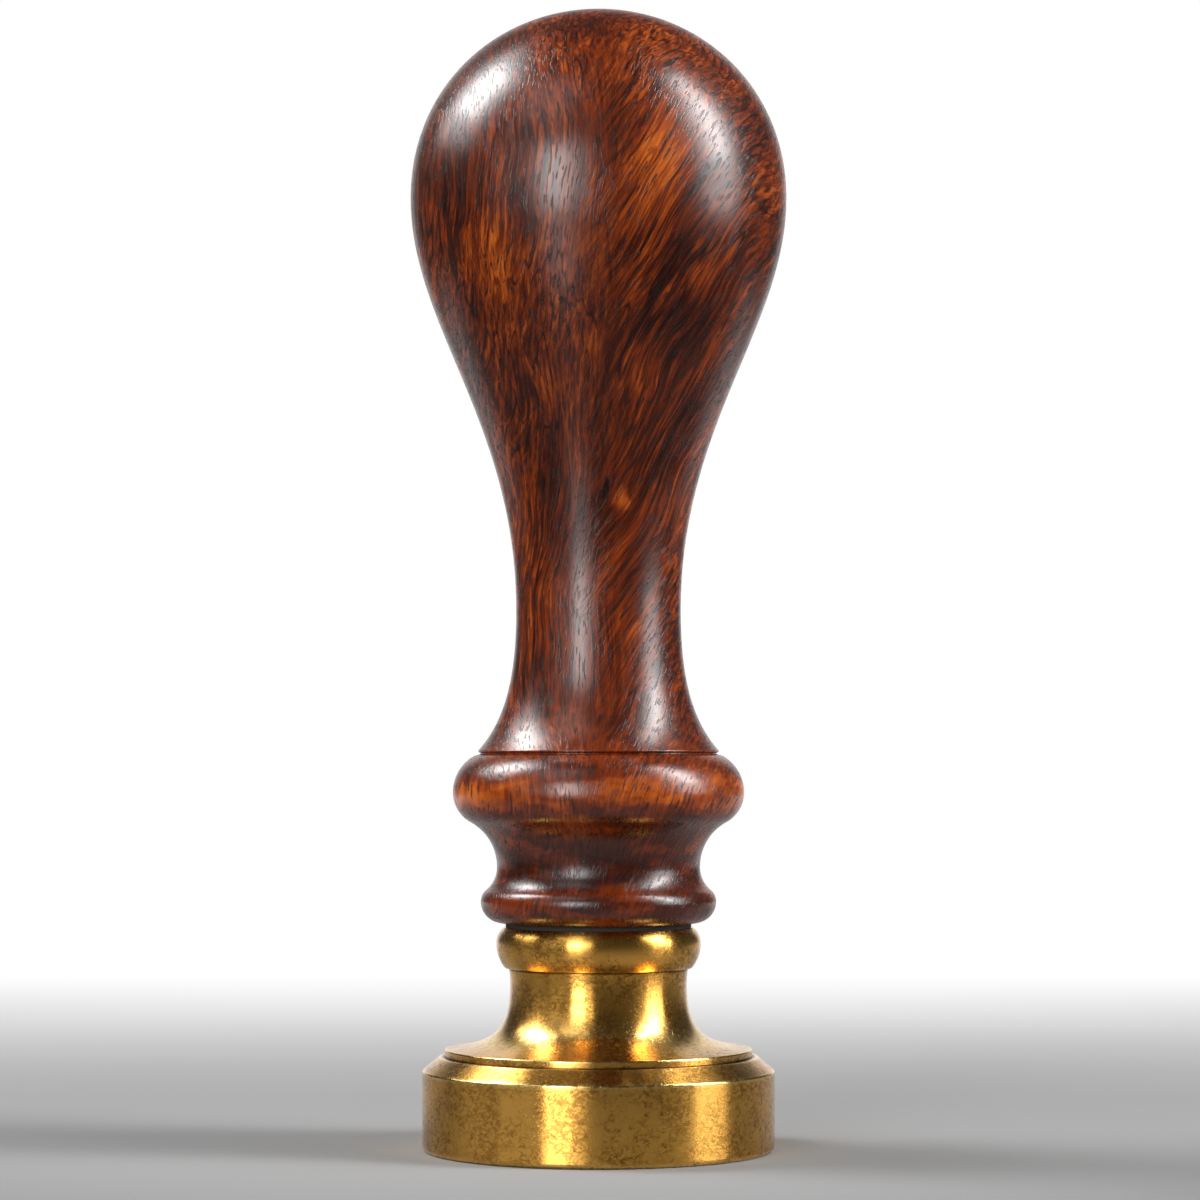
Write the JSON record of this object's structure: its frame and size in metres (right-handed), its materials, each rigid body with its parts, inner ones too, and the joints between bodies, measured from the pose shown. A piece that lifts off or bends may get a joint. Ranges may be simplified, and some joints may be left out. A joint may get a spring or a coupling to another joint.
{
  "type": "wax seal stamp",
  "caption": "Wax seal stamp: a turned pear-shaped wooden handle with bead and hollow, screwed into a waisted brass neck on an engraved round brass die that presses a seal into warm wax.",
  "frame": {"origin": "centre of the seal face, which is the part's lowest plane", "axes": "+Z along the turning axis, from the seal face up to the crown of the handle"},
  "size_m": [0.027, 0.027, 0.0813],
  "materials": {
    "rosewood": "dark red-brown rosewood, figured with near-black streaks, waxed to a soft gloss",
    "aged_brass": "aged satin brass with brown tarnish flecks and bright worn edges",
    "bright_brass": "machined brass",
    "steel": "zinc-plated steel",
    "black_fibre": "matt black fibre"
  },
  "bodies": {
    "head": {"die": "aged_brass", "neck": "aged_brass"},
    "collar": {"collar": "aged_brass", "fibre_washer": "black_fibre"},
    "handle": {"handle": "rosewood", "threaded_insert": "bright_brass", "stud": "steel"}
  },
  "joints": [
    {"name": "handle_turn", "type": "hinge", "parent": "head", "child": "collar", "pos_m": [0, 0, 0], "axis": [0, 0, 1], "range_deg": [0, 2700]},
    {"name": "handle_rise", "type": "slide", "parent": "collar", "child": "handle", "axis": [0, 0, 1], "range_m": [0, 0.0075]}
  ],
  "couplings": [
    {"joint": "handle_rise", "follows": "handle_turn", "m_per_rad": 0.00015915}
  ]
}
